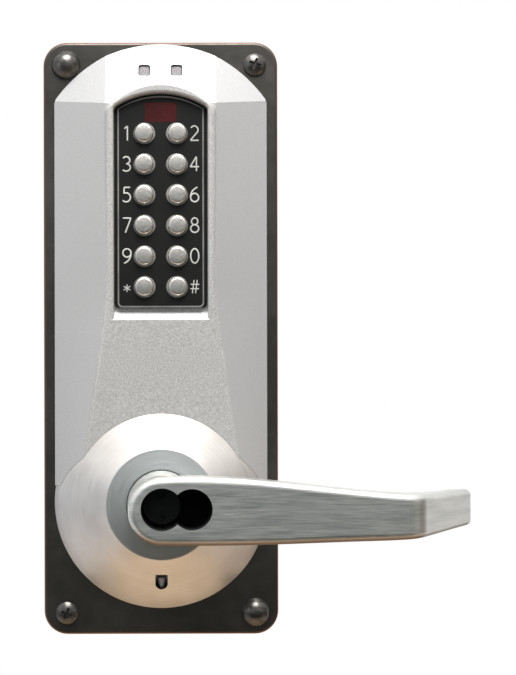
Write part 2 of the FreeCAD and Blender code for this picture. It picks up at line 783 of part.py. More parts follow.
def make_return_mat():
    """Rubber sheet with a hollow dome under each key."""
    mat = block(MAT[:2], (front(MAT_LOW_H), front(MAT_H)), MAT[2:])
    for x, z, _, _ in keys():
        foot, tip = MAT_DOME
        mat = mat.fuse(taper(foot, front(MAT_H), tip, front(KEY_FOOT_H), x, z))
    for x, z, _, _ in keys():
        foot, tip = MAT_HOLLOW
        mat = mat.cut(taper(foot, front(MAT_LOW_H), tip, front(KEY_FOOT_H - MAT_ROOF), x, z))
    return mat.removeSplitter()


# Circuit board


def make_board():
    board = block(BOARD[:2], (front(BOARD_BACK_H), front(BOARD_H)), BOARD[2:])
    tab = block(BOARD_TAB[:2], (front(BOARD_BACK_H), front(BOARD_H)), BOARD_TAB[2:])
    board = join([board, tab])
    for x, z in BOARD_SCREWS:
        board = board.cut(rod(BOARD_HOLE, front(BOARD_BACK_H), front(BOARD_H), x, z))
    return board


def make_board_screws():
    screws = []
    for x, z in BOARD_SCREWS:
        head = rod(SMALL_HEAD, front(BOARD_BACK_H - SMALL_HEAD_THICK), front(BOARD_BACK_H), x, z)
        screws.append(join([head, rod(BOARD_SCREW, front(BOARD_BACK_H), front(HOLLOW_H), x, z)]))
    return Part.makeCompound(screws)


def make_switches():
    switches = []
    for x, z, _, _ in keys():
        base = block((x - SWITCH_HALF, x + SWITCH_HALF), (front(BOARD_H), front(SWITCH_H)),
                     (z - SWITCH_HALF, z + SWITCH_HALF))
        switches.append(join([base, rod(PLUNGER_RADIUS, front(SWITCH_H), front(PLUNGER_H), x, z)]))
    return Part.makeCompound(switches)


def make_emitters():
    depth = (front(BOARD_H), front(BOARD_H + EMITTER_THICK))
    tall = (EMITTER_Z - EMITTER_HALF, EMITTER_Z + EMITTER_HALF)
    return Part.makeCompound([
        block((x - EMITTER_HALF, x + EMITTER_HALF), depth, tall) for x in (-KEY_X, KEY_X)])


def make_infrared_module():
    """A small block with a sending and a receiving dome, behind the red window."""
    middle, top = WINDOW_HIGH - INFRARED_DEEP, front(BOARD_H + INFRARED_THICK)
    body = block(
        (-INFRARED_HALF, INFRARED_HALF), (front(BOARD_H), top), (middle - INFRARED_DEEP, WINDOW_HIGH))
    domes = [dome(*INFRARED_DOME, top, x, middle) for x in (-INFRARED_DOME_X, INFRARED_DOME_X)]
    return join([body] + domes)


def make_chips():
    """Controller and memory, square and oblong, on the board's lower end."""
    depth = (front(BOARD_H), front(BOARD_H + CHIP_THICK))
    return Part.makeCompound([block(chip[:2], depth, chip[2:]) for chip in CHIPS])


def make_beeper():
    return rod(BEEPER_RADIUS, front(BOARD_H), front(BEEPER_H), *BEEPER)


def make_connector():
    """Open socket for the cable to the inside unit."""
    low, high = SOCKET_Z
    floor_h, roof_h = BOARD_H + SOCKET_FLOOR, SOCKET_H - SOCKET_WALL
    half = SOCKET_HALF - SOCKET_WALL
    shell = block((-SOCKET_HALF, SOCKET_HALF), (front(BOARD_H), front(SOCKET_H)), (low, high))
    shell = shell.cut(block((-half, half), (front(floor_h), front(roof_h)), (low, high - SOCKET_WALL)))
    pins = [rod_z(PIN_RADIUS, *PIN_Z, x, (floor_h + roof_h) / 2) for x in PIN_XS]
    return join([shell] + pins)


def rod_z(radius, low, high, x, height):
    return Part.makeCylinder(radius, high - low, Vector(x, front(height), low), Vector(0, 0, 1))


def make_lens(x):
    """Square light guide whose face lies just under the leaning top."""
    crease = HOUSING_SHOULDER - CREASE_DROP * (CREST_H - FLANK_EDGE_H)
    low, high = LENS_Z - LENS_SIZE, LENS_Z + LENS_SIZE
    body = slab(lens_outline(x, LENS_SIZE - LENS_GAP), front(LENS_BACK_H), front(CREST_H))
    face = [(CREST_H - LENS_RECESS - TOP_SLOPE * (z - crease), z) for z in (low, high)]
    below = side_slab([(0, low)] + face + [(0, high)], x - LENS_SIZE, x + LENS_SIZE)
    return body.common(below)


# Rose and its catch


def make_rose():
    shell = revolved([
        (ROSE_RADIUS, 0), (ROSE_RADIUS, ROSE_EDGE_H), (ROSE_NOSE, ROSE_H), (LIP_RADIUS, NOSE_TOP_H),
        (LIP_RADIUS, LIP_H), (ROSE_BORE, LIP_H), (ROSE_BORE, ROSE_NOSE_BACK_H),
        (ROSE_INNER_NOSE, ROSE_NOSE_BACK_H), (ROSE_INNER_BASE, 0)])
    shell = round_edges(
        shell, NOSE_EDGE, lambda b: abs(b.ZMax - ROSE_NOSE) < TINY and b.YLength < TINY)
    half, low, high = SLOT_WIDTH / 2, SLOT_Z - SLOT_HEIGHT / 2, SLOT_Z + SLOT_HEIGHT / 2
    edges = [
        line(Vector(-half, 0, low + half), Vector(-half, 0, high)),
        line(Vector(-half, 0, high), Vector(half, 0, high)),
        line(Vector(half, 0, high), Vector(half, 0, low + half)),
        arc(Vector(half, 0, low + half), Vector(0, 0, low), Vector(-half, 0, low + half))]
    return shell.cut(slab(Part.Wire(edges), front(OVER), front(ROSE_NOSE_BACK_H)))


def make_rose_bushing():
    """Nylon bearing between the rose and the lever's neck."""
    return tube(
        LIP_RADIUS + BUSHING_WALL, NECK_RADIUS + RUNNING, front(COVER_H), front(ROSE_NOSE_BACK_H))


def inner_cone_h(z, gap):
    """Height of the rose's inner surface below the lever, less a gap."""
    lean = ROSE_NOSE_BACK_H / (ROSE_INNER_BASE - ROSE_INNER_NOSE)
    return (ROSE_INNER_BASE + z) * lean - gap


def inner_point(z, gap):
    """(height, z) of a point under the rose's inner surface, below the lever."""
    return inner_cone_h(z, gap), z


def make_rose_catch():
    """Sloping tab with a round nub that stands in the rose's slot."""
    low, high = (SLOT_Z + offset for offset in CATCH_TAB)
    back_gap = CATCH_GAP + CATCH_THICK
    tab = side_slab([
        inner_point(high, CATCH_GAP), inner_point(low, CATCH_GAP),
        inner_point(low, back_gap), inner_point(high, back_gap)], -CATCH_HALF, CATCH_HALF)
    start, end = (
        Vector(0, front(inner_cone_h(SLOT_Z + offset, CATCH_GAP)), SLOT_Z + offset) for offset in CATCH_NUB)
    nub = Part.makeCylinder(CATCH_NUB_RADIUS, (end - start).Length, start, end - start)
    over, under = high + CATCH_MARGIN, low - CATCH_MARGIN
    behind = side_slab([
        inner_point(over, back_gap), inner_point(under, back_gap), (0, under), (0, over)],
        -CATCH_MARGIN, CATCH_MARGIN)
    return join([tab, nub]).cut(behind)


def make_catch_bracket():
    """Base on the plate with an ear each side of the catch."""
    low, high = (SLOT_Z + offset for offset in BRACKET)
    ear = [(0, low), inner_point(low, BRACKET_BASE), inner_point(high, BRACKET_BASE), (0, high)]
    inner = BRACKET_HALF - BRACKET_SIDE
    base = block((-BRACKET_HALF, BRACKET_HALF), (front(0), front(BRACKET_BASE)), (low, high))
    return join([
        base, side_slab(ear, -BRACKET_HALF, -inner), side_slab(ear, inner, BRACKET_HALF)])


def make_catch_spring():
    """Bent leaf between the bracket's base and the catch."""
    low, high = (SLOT_Z + offset for offset in LEAF)
    gap, top = CATCH_GAP + CATCH_THICK, high + LEAF_THICK
    floor, roof = BRACKET_BASE, BRACKET_BASE + LEAF_THICK
    return side_slab([
        (floor, low), inner_point(high, gap), inner_point(top, gap),
        (roof, low + LEAF_LIFT), (roof, top), (floor, top)], -LEAF_HALF, LEAF_HALF)


# Spring cage, return spring and stops


def ears(start, end):
    return [rod(EAR_RADIUS, start, end, *on_circle(EAR_CIRCLE, a)) for a in EAR_ANGLES]


def stop_sectors():
    """(start, end) angles of the two stop blocks, clear of the cam's arm at its limits."""
    reach = CAM_HALF_ANGLE + TURN_LIMIT + STOP_SLACK
    return ((90 - reach - STOP_WIDTH, 90 - reach), (90 + reach, 90 + reach + STOP_WIDTH))


def cover_screw_spots():
    radius = (STOP_INNER + CAGE_INNER) / 2
    return [on_circle(radius, (a + b) / 2) for a, b in stop_sectors()]


def make_cage():
    floor = tube(CAGE_RADIUS, TUBE_RADIUS + RUNNING, front(CAGE_LOW_H), front(CAGE_FLOOR_H))
    wall = tube(CAGE_RADIUS, CAGE_INNER, front(CAGE_FLOOR_H), front(CAGE_H))
    parts = [floor, wall] + ears(front(0), front(CAGE_FLOOR_H))
    stop_low, outer = front(SPRING_H[1] + STOP_CLEAR), CAGE_INNER + PILOT_SPARE
    parts += [sector(STOP_INNER, outer, a, b, stop_low, front(CAGE_H)) for a, b in stop_sectors()]
    cage = join(parts)
    for angle in EAR_ANGLES:
        x, z = on_circle(EAR_CIRCLE, angle)
        cage = cage.cut(rod(SCREW_PILOT, front(0), front(CAGE_FLOOR_H), x, z))
    pilot_end = front(CAGE_H - COVER_SCREW_DEPTH - PILOT_SPARE)
    for x, z in cover_screw_spots():
        cage = cage.cut(rod(COVER_PILOT, pilot_end, front(CAGE_H), x, z))
    return cage


def make_cage_cover():
    cover = tube(CAGE_RADIUS, TUBE_RADIUS + RUNNING, front(CAGE_H), front(COVER_H))
    for x, z in cover_screw_spots():
        cover = cover.cut(rod(COVER_PILOT, front(CAGE_H), front(COVER_H), x, z))
    return cover


def make_cage_screws():
    screws = []
    for angle in EAR_ANGLES:
        x, z = on_circle(EAR_CIRCLE, angle)
        head = rod(CAGE_HEAD, front(CAGE_FLOOR_H), front(CAGE_FLOOR_H + CAGE_HEAD_THICK), x, z)
        shank = rod(SCREW_SHANK, front(-PLATE_THICK), front(CAGE_FLOOR_H), x, z)
        screws.append(join([head, shank]))
    return Part.makeCompound(screws)


def make_cover_screws():
    screws = []
    for x, z in cover_screw_spots():
        head = rod(SMALL_HEAD, front(COVER_H), front(COVER_H + COVER_HEAD_THICK), x, z)
        shank = rod(COVER_SCREW, front(CAGE_H - COVER_SCREW_DEPTH), front(COVER_H), x, z)
        screws.append(join([head, shank]))
    return Part.makeCompound(screws)


def spiral_edges(offset):
    """Half circles whose radius grows by half the pitch each time."""
    edges = []
    radius, centre, side = SPRING_INNER + SPRING_WIRE / 2 + offset, 0.0, 1
    step = SPRING_PITCH / 4
    for _ in range(SPRING_HALF_TURNS):
        a = Vector(0, 0, centre - side * radius)
        m = Vector(side * radius, 0, centre)
        b = Vector(0, 0, centre + side * radius)
        edges.append(arc(a, m, b))
        radius += step
        centre -= side * step
        side = -side
    return edges


def make_return_spring():
    """Flat spiral spring wound round the drive tube."""
    outer, inner = spiral_edges(SPRING_WIRE / 2), spiral_edges(-SPRING_WIRE / 2)
    ends = [
        line(outer[0].Vertexes[0].Point, inner[0].Vertexes[0].Point),
        line(outer[-1].Vertexes[-1].Point, inner[-1].Vertexes[-1].Point)]
    wire = Part.Wire(Part.__sortEdges__(outer + inner + ends))
    return slab(wire, front(SPRING_H[0]), front(SPRING_H[1]))


# Drive train


def dogs(width, inner, outer, low, high):
    pieces = []
    for k in range(DOG_COUNT):
        bar = block((inner, outer), (front(low), front(high)), (-width / 2, width / 2))
        bar.rotate(Vector(0, 0, 0), Vector(0, 1, 0), -90 - k * 360 / DOG_COUNT)
        pieces.append(bar)
    return pieces


def make_drive_tube():
    """Steel tube fixed in the lever's neck, with slots for the clutch's dogs."""
    body = tube(TUBE_RADIUS, TUBE_BORE, front(TUBE_LOW_H), front(TUBE_HIGH_H))
    for slot in dogs(DOG_SLOT, TUBE_BORE - OVER, TUBE_RADIUS + OVER, TUBE_LOW_H, DOG_SLOT_H):
        body = body.cut(slot)
    return body


def make_cam():
    """Ring on the drive tube with the arm that meets the stops."""
    ring = tube(CAM_RING, TUBE_RADIUS, front(CAM_H[0]), front(CAM_H[1]))
    arm = sector(
        CAM_RING - OVER, CAM_ARM, 90 - CAM_HALF_ANGLE, 90 + CAM_HALF_ANGLE,
        front(CAM_H[0]), front(CAM_H[1]))
    return join([ring, arm])


def make_sleeve():
    """Clutch sleeve: square bore, groove for the fork, dogs towards the lever."""
    parts = [rod(SLEEVE_RADIUS, front(SLEEVE_LOW_H), front(SLEEVE_H))]
    parts += dogs(
        DOG_WIDTH, TUBE_BORE + DOG_MARGIN, SLEEVE_RADIUS - DOG_MARGIN, SLEEVE_H - OVER, DOG_H)
    groove = tube(SLEEVE_RADIUS + OVER, GROOVE_RADIUS, front(GROOVE_H[0]), front(GROOVE_H[1]))
    body = join(parts).cut(groove)
    half = SQUARE / 2 + RUNNING
    return body.cut(block((-half, half), (front(SLEEVE_LOW_H), front(SLEEVE_H)), (-half, half)))


def make_spindle():
    """Journal in the drive tube, square for the sleeve, rear journal and flatted tail."""
    nose = rod(SPINDLE_NOSE, front(SPINDLE_NOSE_H[0]), front(SPINDLE_NOSE_H[1]))
    half = SQUARE / 2
    square = block((-half, half), (front(SPINDLE_NOSE_H[0]), SQUARE_END), (-half, half))
    journal = rod(JOURNAL, SQUARE_END, JOURNAL_END)
    tail = rod(TAIL_RADIUS, JOURNAL_END, TAIL_END)
    flat = block((-TAIL_RADIUS, TAIL_RADIUS), (JOURNAL_END, TAIL_END), (TAIL_FLAT, TAIL_RADIUS + OVER))
    groove = tube(JOURNAL + OVER, JOURNAL - CLIP_DEPTH, *CLIP_GROOVE_Y)
    return join([nose, square, journal, tail.cut(flat)]).cut(groove)


def snap_ring(outer, inner, gap_half, start, end):
    gap = block((-gap_half, gap_half), (start, end), (-outer - OVER, 0))
    return tube(outer, inner, start, end).cut(gap)


def make_spindle_clip():
    """Snap ring, open on one side, in the spindle's groove."""
    return snap_ring(JOURNAL + CLIP_WALL, JOURNAL - CLIP_DEPTH, CLIP_GAP_HALF, *CLIP_Y)


def make_spindle_bushing():
    start = HUB_WALL_Y - BUSHING_THICK
    flange = rod(JOURNAL + BUSHING_FLANGE, start, HUB_WALL_Y)
    body = join([flange, rod(JOURNAL + BUSHING_SLEEVE, HUB_WALL_Y, HUB_END)])
    return body.cut(rod(JOURNAL + RUNNING, start, HUB_END))


def make_fork():
    """Plate with a mouth round the sleeve's groove and a nut on the lead screw."""
    low, high = front(FORK_H[0]), front(FORK_H[1])
    head = rod(FORK_JAW, low, high).common(
        block((-FORK_JAW, FORK_JAW), (low, high), (FORK_JAW_LOW, FORK_JAW)))
    arm = block((-FORK_HALF, FORK_HALF), (low, high), (GROOVE_RADIUS, SCREW_Z))
    nut = rod(NUT_RADIUS, front(NUT_H[0]), front(NUT_H[1]), 0, SCREW_Z)
    fork = join([head, arm, nut])
    half = GROOVE_RADIUS + FORK_CLEAR
    mouth = rod(half, low, high).fuse(block((-half, half), (low, high), (-FORK_JAW, 0)))
    thread = rod(SCREW_RADIUS + RUNNING, front(NUT_H[0]), front(NUT_H[1]), 0, SCREW_Z)
    return fork.cut(mouth).cut(thread)


def make_lead_screw():
    return rod(SCREW_RADIUS, front(SCREW_H[0]), front(SCREW_H[1]), 0, SCREW_Z)


def make_motor():
    depth, reach = (front(MOTOR_H[0]), front(MOTOR_H[1])), MOTOR_RADIUS + OVER
    can = rod(MOTOR_RADIUS, *depth, 0, SCREW_Z)
    for side in (-1, 1):
        flat = block((side * MOTOR_FLAT, side * reach), depth, (SCREW_Z - reach, SCREW_Z + reach))
        can = can.cut(flat)
    return can


def make_motor_bracket():
    """Bridge over the fork's arm that carries the motor."""
    tall = (SCREW_Z - MOTOR_RADIUS, SCREW_Z + MOTOR_RADIUS)
    under, top = front(BRIDGE_UNDER_H), front(MOTOR_H[0])
    parts = [block((-BRIDGE_HALF, BRIDGE_HALF), (under, top), tall)]
    for side in (-1, 1):
        leg = (side * (BRIDGE_HALF - BRIDGE_WALL), side * BRIDGE_HALF)
        parts.append(block(leg, (front(0), under), tall))
    return join(parts).cut(rod(SCREW_RADIUS + FORK_CLEAR, under, top, 0, SCREW_Z))


def make_hub():
    """Chassis hub in the door's cross bore, with two threaded posts."""
    rim = rod(HUB_BORE_FIT - HUB_RIM_STEP, -GASKET_THICK, 0)
    body = join([rim, rod(HUB_BORE_FIT, 0, HUB_END)])
    body = body.cut(rod(HUB_CAVITY, -GASKET_THICK, HUB_WALL_Y))
    body = body.cut(rod(JOURNAL + BUSHING_SLEEVE, HUB_WALL_Y, HUB_END))
    posts = [rod(POST_RADIUS, HUB_END, POST_END, s * POST_X) for s in (-1, 1)]
    body = join([body] + posts)
    for side in (-1, 1):
        body = body.cut(rod(POST_HOLE, POST_END - POST_DEPTH, POST_END, side * POST_X))
    for x, z in hub_screw_spots():
        body = body.cut(rod(SCREW_PILOT, -GASKET_THICK, HUB_WALL_Y, x, z))
    return body


def make_hub_screws():
    screws = []
    for x, z in hub_screw_spots():
        neck = front(0) + SCREW_HEAD - SCREW_SHANK
        head = taper(SCREW_HEAD - RUNNING, front(0), SCREW_SHANK - RUNNING, neck, x, z)
        screws.append(join([head, rod(SCREW_SHANK, neck - SCREW_SEAT, HUB_WALL_Y - OVER, x, z)]))
    return Part.makeCompound(screws)


# Lever


def arm_plan():
    """The lever's section seen from above: straight arm, then a return towards the door."""
    face, back = front(LEVER_H), front(LEVER_H - LEVER_THICK)
    tip = front(TIP_H)
    lean = math.atan2(tip - face, TIP_X - BEND_X)
    inner_x = TIP_X - TIP_THICK * math.sin(lean)
    inner_y = tip + TIP_THICK * math.cos(lean) - TIP_THICK
    bend = BEND_X - LEVER_THICK * math.tan(lean / 2) * BEND_SHARE
    corners = [
        Vector(0, face, 0), Vector(BEND_X, face, 0), Vector(TIP_X, tip, 0),
        Vector(inner_x, inner_y + TIP_THICK, 0), Vector(bend, back, 0), Vector(0, back, 0)]
    plan = Part.Face(Part.makePolygon(corners + corners[:1])).extrude(Vector(0, 0, 2 * ARM_REACH))
    plan.translate(Vector(0, 0, -ARM_REACH))
    for corner, radius in PLAN_ROUNDS:
        spot = corners[corner]
        plan = round_edges(
            plan, radius,
            lambda b: b.ZLength > ARM_REACH and math.hypot(b.XMin - spot.x, b.YMin - spot.y) < TINY)
    return plan


def smooth(points, y):
    """Curve through (x, z) points."""
    curve = Part.BSplineCurve()
    curve.interpolate([Vector(x, y, z) for x, z in points])
    return curve.toShape()


def arm_front():
    """The lever seen from the front, tapering towards its tip."""
    top, low = smooth(ARM_TOP, 0), smooth(ARM_LOW, 0)
    tip = line(top.Vertexes[-1].Point, low.Vertexes[-1].Point)
    root = arc(
        low.Vertexes[0].Point, Vector(-HUB_RADIUS, 0, HUB_DROP), top.Vertexes[0].Point)
    return Part.Wire(Part.__sortEdges__([top, low, tip, root]))


def core_pocket():
    """Two overlapping round bores for an interchangeable key core."""
    left = rod(CORE_RADIUS, front(CORE_FLOOR_H), front(LEVER_H + OVER))
    right = rod(CORE_LOBE_RADIUS, front(CORE_FLOOR_H), front(LEVER_H + OVER), CORE_LOBE_X)
    return left.fuse(right)


def make_lever():
    outline = arm_front()
    plan = arm_plan()
    face = slab(outline, front(0), front(LEVER_H))
    hub_zone = block(
        (-ARM_REACH, 0), (front(NECK_HIGH_H), front(LEVER_H)), (-ARM_REACH, ARM_REACH))
    arm = join([face.common(plan), face.common(hub_zone)])
    arm = round_lever_edges(arm)
    neck = rod(NECK_RADIUS, front(NECK_LOW_H), front(CORE_BLOCK_H))
    hub = taper(NECK_RADIUS, front(CORE_BLOCK_H), HUB_RADIUS - HUB_SHRINK, front(LEVER_H - HUB_TOP_GAP))
    core = block(
        (0, CORE_BLOCK_X), (front(CORE_BLOCK_H), front(LEVER_H - CORE_BLOCK_GAP)),
        (-CORE_BLOCK_HALF, CORE_BLOCK_HALF))
    core = round_edges(core, CORE_BLOCK_CORNER, lambda b: b.YLength > OVER and b.XMin > OVER)
    lever = join([arm, hub, neck, core])
    lever = lever.cut(core_pocket())
    lever = lever.cut(rod(TUBE_RADIUS, front(NECK_LOW_H), front(TUBE_HIGH_H)))
    return lever.cut(rod(DRIVER_SHAFT + RUNNING, front(TUBE_HIGH_H), front(CORE_FLOOR_H)))


def round_lever_edges(arm):
    far, near = front(TIP_H - OVER), front(LEVER_H - OVER)
    return round_edges(arm, LEVER_EDGE, lambda b: b.YMax < far and b.YMin < near)


def make_core_driver():
    """Disc that a key core turns, on a shaft through the pocket's floor."""
    disc = rod(CORE_RADIUS - DRIVER_GAP, front(DISC_H[0]), front(DISC_H[1]))
    shaft = rod(DRIVER_SHAFT, front(DRIVER_SHAFT_H), front(DISC_H[0]))
    end = (front(BLADE_H), front(DRIVER_SHAFT_H))
    blade = block((-DRIVER_SHAFT, DRIVER_SHAFT), end, (-BLADE_HALF, BLADE_HALF))
    driver = join([disc, shaft, blade.common(rod(DRIVER_SHAFT, *end))])
    for z in (-DRIVER_PIN_Z, DRIVER_PIN_Z):
        driver = driver.cut(rod(DRIVER_PIN_HOLE, front(DRIVER_PIN_H), front(DISC_H[1]), 0, z))
    groove = [front(h) for h in DRIVER_GROOVE_H]
    return driver.cut(tube(DRIVER_SHAFT + OVER, DRIVER_SHAFT - DRIVER_GROOVE_DEPTH, *groove))


def make_driver_clip():
    """Snap ring that holds the driver in the lever."""
    outer, inner = DRIVER_SHAFT + DRIVER_CLIP_WALL, DRIVER_SHAFT - DRIVER_GROOVE_DEPTH
    return snap_ring(outer, inner, DRIVER_CLIP_GAP_HALF, *(front(h) for h in DRIVER_CLIP_H))


def nodes():
    """Every sub-part by name."""
    parts = {
        "door_gasket": make_gasket(),
        "back_plate": make_back_plate(),
        "dome_bolts": make_dome_bolts(),
        "trim_screws": make_trim_screws(),
        "housing": make_housing(),
        "housing_screws": make_housing_screws(),
        "keypad_seal": make_seal(),
        "faceplate": make_faceplate(),
        "faceplate_trim": make_faceplate_trim(),
        "signal_window": signal_block(0, POCKET_FLOOR_H + SEAL_THICK, FACE_H),
        "led_lens_left": make_lens(-KEY_X),
        "led_lens_right": make_lens(KEY_X),
        "key_return_mat": make_return_mat(),
        "circuit_board": make_board(),
        "board_screws": make_board_screws(),
        "tact_switches": make_switches(),
        "led_emitters": make_emitters(),
        "infrared_module": make_infrared_module(),
        "board_chips": make_chips(),
        "beeper": make_beeper(),
        "harness_connector": make_connector(),
        "rose": make_rose(),
        "rose_bushing": make_rose_bushing(),
        "rose_catch": make_rose_catch(),
        "catch_bracket": make_catch_bracket(),
        "catch_spring": make_catch_spring(),
        "spring_cage": make_cage(),
        "cage_cover": make_cage_cover(),
        "cage_screws": make_cage_screws(),
        "cover_screws": make_cover_screws(),
        "lever_return_spring": make_return_spring(),
        "clutch_motor": make_motor(),
        "motor_bracket": make_motor_bracket(),
        "lead_screw": make_lead_screw(),
        "clutch_fork": make_fork(),
        "clutch_sleeve": make_sleeve(),
        "spindle": make_spindle(),
        "spindle_clip": make_spindle_clip(),
        "spindle_bushing": make_spindle_bushing(),
        "chassis_hub": make_hub(),
        "hub_screws": make_hub_screws(),
        "lever_handle": make_lever(),
        "lever_drive_tube": make_drive_tube(),
        "lever_cam": make_cam(),
        "core_driver": make_core_driver(),
        "core_driver_clip": make_driver_clip(),
    }
    for x, z, label, side in keys():
        parts["key_" + label] = make_key(x, z, side)
    return parts


os.makedirs("parts", exist_ok=True)
for name, shape in nodes().items():
    print(name, shape.isValid(), len(shape.Solids), round(shape.Volume, 1))
    shape.exportStep("parts/" + name + ".step")
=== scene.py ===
import math

import bpy
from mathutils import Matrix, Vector


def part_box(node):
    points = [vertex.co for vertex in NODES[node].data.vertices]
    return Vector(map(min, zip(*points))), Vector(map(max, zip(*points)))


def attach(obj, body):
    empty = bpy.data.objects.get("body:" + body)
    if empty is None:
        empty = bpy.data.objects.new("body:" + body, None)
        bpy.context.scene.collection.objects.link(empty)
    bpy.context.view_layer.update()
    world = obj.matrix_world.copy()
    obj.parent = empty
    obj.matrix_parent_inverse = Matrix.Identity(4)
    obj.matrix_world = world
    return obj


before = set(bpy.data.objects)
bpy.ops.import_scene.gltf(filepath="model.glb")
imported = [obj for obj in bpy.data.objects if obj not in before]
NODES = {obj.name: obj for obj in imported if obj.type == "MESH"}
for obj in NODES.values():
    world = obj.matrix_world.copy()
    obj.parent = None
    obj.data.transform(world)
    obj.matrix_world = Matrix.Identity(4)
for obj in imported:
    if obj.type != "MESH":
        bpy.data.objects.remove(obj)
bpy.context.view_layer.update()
MM = 0.001

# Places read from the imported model

PLATE_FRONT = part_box("back_plate")[0].y
PANEL_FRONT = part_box("faceplate")[0].y
LEVER_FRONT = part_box("lever_handle")[0].y

# Sizes of features inside one node, which its material follows

CORE_RADIUS = 8.38 * MM
LOBE_X, LOBE_RADIUS = 11.69 * MM, 8.11 * MM
MOUTH_START, MOUTH_END = 0.2 * MM, 0.6 * MM
TONGUE_HALF = 23.3 * MM
TONGUE_EDGE_OUT, TONGUE_EDGE_IN = -0.2 * MM, 0.4 * MM
TONGUE_FLARE = 0.143
FLARE_TOP = 85.7 * MM
TONGUE_TOP_START, TONGUE_TOP_END = 172.5 * MM, 177.0 * MM
NOSE_FLAT, NOSE_EDGE = 22.3 * MM, 22.9 * MM

# Node-tree helpers


def feed(links, socket, value):
    """Link a node's output to a socket, or set a plain value on it."""
    if isinstance(value, bpy.types.NodeSocket):
        links.new(value, socket)
    else:
        socket.default_value = value


class Tree:
    """Short ways to add shader nodes to one material."""

    def __init__(self, name):
        self.material = bpy.data.materials.new(name)
        self.material.use_nodes = True
        self.nodes = self.material.node_tree.nodes
        self.links = self.material.node_tree.links
        self.nodes.clear()
        self.shader = self.nodes.new("ShaderNodeBsdfPrincipled")
        output = self.nodes.new("ShaderNodeOutputMaterial")
        self.links.new(self.shader.outputs["BSDF"], output.inputs["Surface"])
        coordinates = self.nodes.new("ShaderNodeTexCoord")
        self.place = coordinates.outputs["Object"]

    def put(self, socket, value):
        feed(self.links, socket, value)

    def math(self, operation, a, b=0.0):
        node = self.nodes.new("ShaderNodeMath")
        node.operation = operation
        self.put(node.inputs[0], a)
        self.put(node.inputs[1], b)
        return node.outputs[0]

    def plus(self, total, *values):
        for value in values:
            total = self.math("ADD", total, value)
        return total

    def minus(self, a, b):
        return self.math("SUBTRACT", a, b)

    def times(self, a, b):
        return self.math("MULTIPLY", a, b)

    def reach(self, a, b):
        """Straight distance covered by two square steps."""
        return self.math("SQRT", self.plus(self.times(a, a), self.times(b, b)))

    def swing(self, noise, amount):
        """How far a noise is from its middle, times an amount."""
        return self.times(self.minus(noise, 0.5), amount)

    def scaled(self, vector, factors):
        node = self.nodes.new("ShaderNodeVectorMath")
        node.operation = "MULTIPLY"
        self.put(node.inputs[0], vector)
        node.inputs[1].default_value = factors
        return node.outputs[0]

    def split(self, vector):
        node = self.nodes.new("ShaderNodeSeparateXYZ")
        self.put(node.inputs[0], vector)
        return node.outputs

    def join(self, x, y, z):
        node = self.nodes.new("ShaderNodeCombineXYZ")
        for socket, value in zip(node.inputs, (x, y, z)):
            self.put(socket, value)
        return node.outputs[0]

    def true_normal(self):
        """The parts of the surface's own direction, without any bump."""
        geometry = self.nodes.new("ShaderNodeNewGeometry")
        return self.split(geometry.outputs["True Normal"])

    def noise(self, vector, scale, detail=2.0, rough=0.5):
        node = self.nodes.new("ShaderNodeTexNoise")
        self.put(node.inputs["Vector"], vector)
        node.inputs["Scale"].default_value = scale
        node.inputs["Detail"].default_value = detail
        node.inputs["Roughness"].default_value = rough
        return node.outputs["Fac"]

    def between(self, value, low, high, to_low=0.0, to_high=1.0):
        """Smooth ramp of a value from low..high onto to_low..to_high."""
        node = self.nodes.new("ShaderNodeMapRange")
        node.interpolation_type = "SMOOTHSTEP"
        self.put(node.inputs["Value"], value)
        self.put(node.inputs["From Min"], low)
        self.put(node.inputs["From Max"], high)
        self.put(node.inputs["To Min"], to_low)
        self.put(node.inputs["To Max"], to_high)
        return node.outputs["Result"]

    def uneven(self, noise, low, high):
        """A value that follows a noise between two limits."""
        return self.between(noise, 0.3, 0.7, low, high)

    def mix(self, share, a, b):
        node = self.nodes.new("ShaderNodeMix")
        node.data_type = "RGBA"
        self.put(node.inputs["Factor"], share)
        self.put(node.inputs[6], a)
        self.put(node.inputs[7], b)
        return node.outputs[2]

    def mottle(self, noise, dark, light):
        """A colour that follows a noise between two shades."""
        return self.mix(self.between(noise, 0.35, 0.65), dark, light)

    def bump(self, height, strength, distance):
        node = self.nodes.new("ShaderNodeBump")
        node.inputs["Strength"].default_value = strength
        node.inputs["Distance"].default_value = distance
        self.put(node.inputs["Height"], height)
        return node.outputs["Normal"]

    def finish(self, colour, metallic, roughness, normal=None, specular=None):
        sockets = self.shader.inputs
        self.put(sockets["Base Color"], colour)
        sockets["Metallic"].default_value = metallic
        self.put(sockets["Roughness"], roughness)
        if normal is not None:
            self.put(sockets["Normal"], normal)
        if specular is not None:
            sockets["Specular IOR Level"].default_value = specular
        return self.material


def rgb(red, green, blue):
    """Linear colour from 0..255 display values."""
    shares = [value / 255 for value in (red, green, blue)]
    linear = [((v + 0.055) / 1.055) ** 2.4 if v > 0.04 else v / 12.92 for v in shares]
    return (*linear, 1.0)


def dress(material, *names):
    for name in names:
        slots = NODES[name].data.materials
        slots.clear()
        slots.append(material)


# Materials


